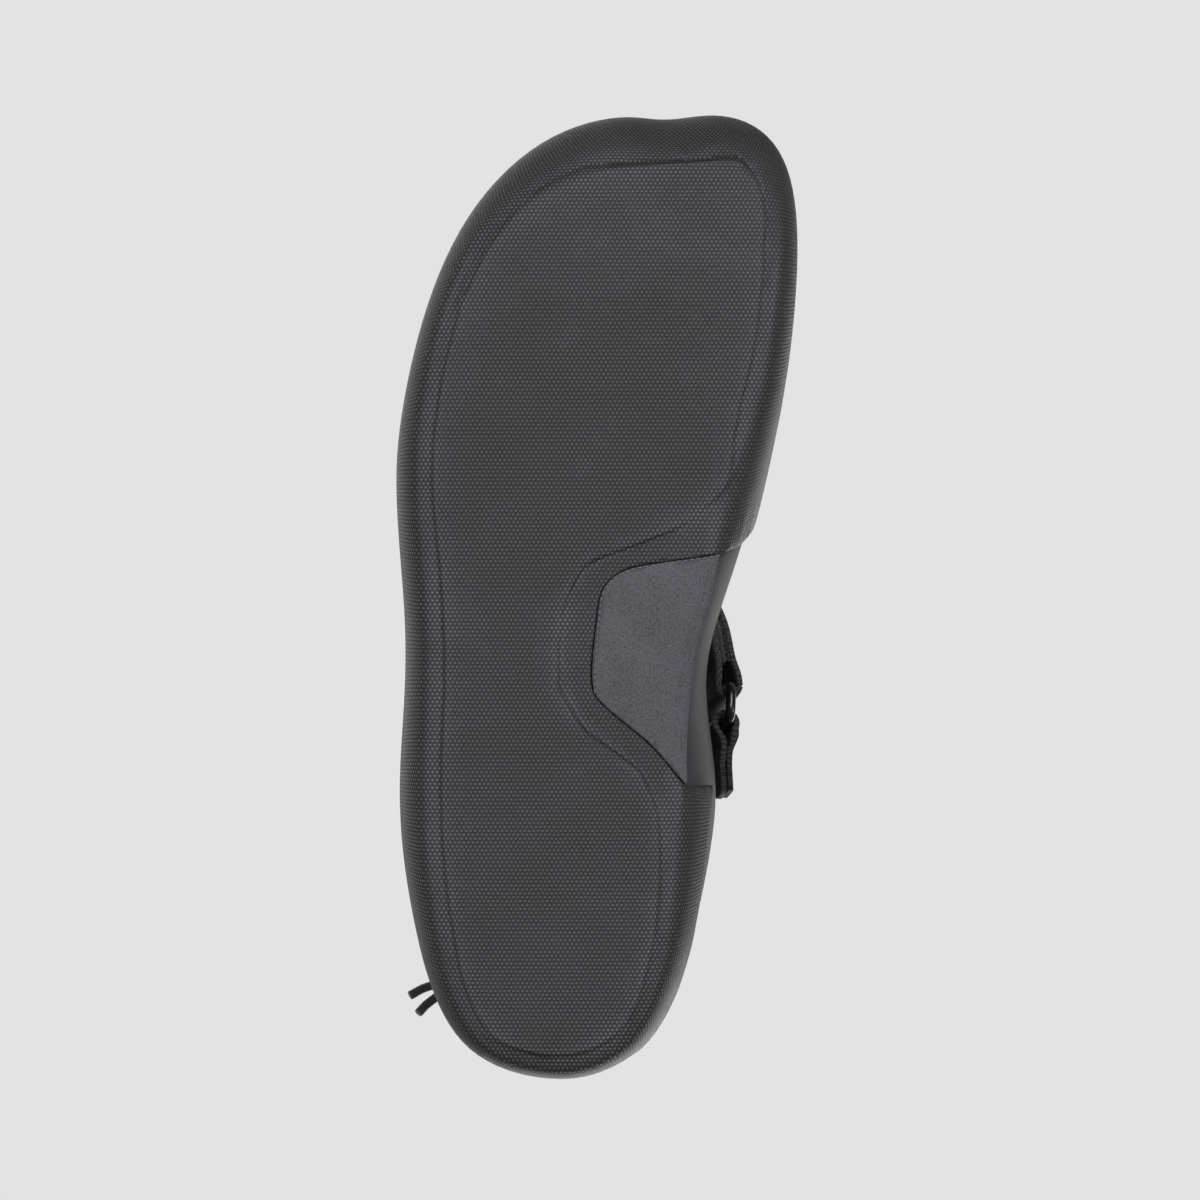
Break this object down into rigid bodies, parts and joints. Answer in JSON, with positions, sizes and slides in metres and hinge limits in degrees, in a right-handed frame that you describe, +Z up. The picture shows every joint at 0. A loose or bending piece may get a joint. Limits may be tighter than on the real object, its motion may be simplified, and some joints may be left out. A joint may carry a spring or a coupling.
{
  "type": "neoprene water sports boot",
  "caption": "Right-foot neoprene water sports boot: split-toe rubber cup sole with a knurled tread, open arch panel, instep strap through a ring, and an ankle drawcord with a cord lock.",
  "frame": {"origin": "centre of the boot's own box, without the drawcord, on the ground plane the tread stands on", "axes": "+Z up, +Y towards the toe, +X towards the outer (little toe) side of the right foot"},
  "size_m": [0.1182, 0.283, 0.2043],
  "materials": {
    "sole_rubber": "matte, moulded knurl",
    "arch_rubber": "matte, fine pebble",
    "neoprene": "jersey-faced foam rubber",
    "insole_foam": "matte",
    "webbing": "woven, matte",
    "fleece": "brushed loop pile",
    "hook_tape": "moulded hooks",
    "smooth_skin": "smooth, slightly glossy",
    "hard_plastic": "glossy",
    "eyelet_metal": "satin",
    "elastic_cord": "braided",
    "spring_steel": "drawn wire"
  },
  "bodies": {
    "boot": {"outsole": "sole_rubber", "arch_panel": "arch_rubber", "bottom_panel": "neoprene", "footbed": "insole_foam", "vamp": "neoprene", "quarter_lateral": "neoprene", "quarter_medial": "neoprene", "shaft_front": "neoprene", "shaft_rear": "neoprene", "collar_band": "webbing", "toe_divider": "neoprene", "instep_strap": "webbing", "loop_patch": "fleece", "ring_tab": "webbing", "strap_anchor": "smooth_skin", "cord_channel": "smooth_skin", "eyelet_inner": "eyelet_metal", "eyelet_outer": "eyelet_metal", "drawcord": "elastic_cord", "pull_loop": "webbing"},
    "ring": {"strap_ring": "hard_plastic"},
    "strap_end": {"strap_tail": "webbing", "hook_patch": "hook_tape"},
    "cord_lock": {"cord_lock_body": "hard_plastic", "cord_lock_spring": "spring_steel"},
    "plunger": {"cord_lock_plunger": "hard_plastic"}
  },
  "joints": [
    {"name": "ring_play", "type": "hinge", "parent": "boot", "child": "ring", "pos_m": [-0.03701, -0.03993, 0.05503], "axis": [0.1707, -0.2925, 0.9409], "range_deg": [-3, 3]},
    {"name": "strap_peel", "type": "hinge", "parent": "boot", "child": "strap_end", "pos_m": [-0.04114, -0.02939, 0.05906], "axis": [0.1707, -0.2925, 0.9409], "range_deg": [0, 100]},
    {"name": "cord_lock_slide", "type": "slide", "parent": "boot", "child": "cord_lock", "axis": [0.8682, 0.4961, 0], "range_m": [-0.0024, 0.006]},
    {"name": "plunger_press", "type": "slide", "parent": "cord_lock", "child": "plunger", "axis": [0, 0, -1], "range_m": [0, 0.0026], "stiffness_N_per_m": 1000, "springref_m": -0.001, "deforming": ["cord_lock_spring"]}
  ]
}
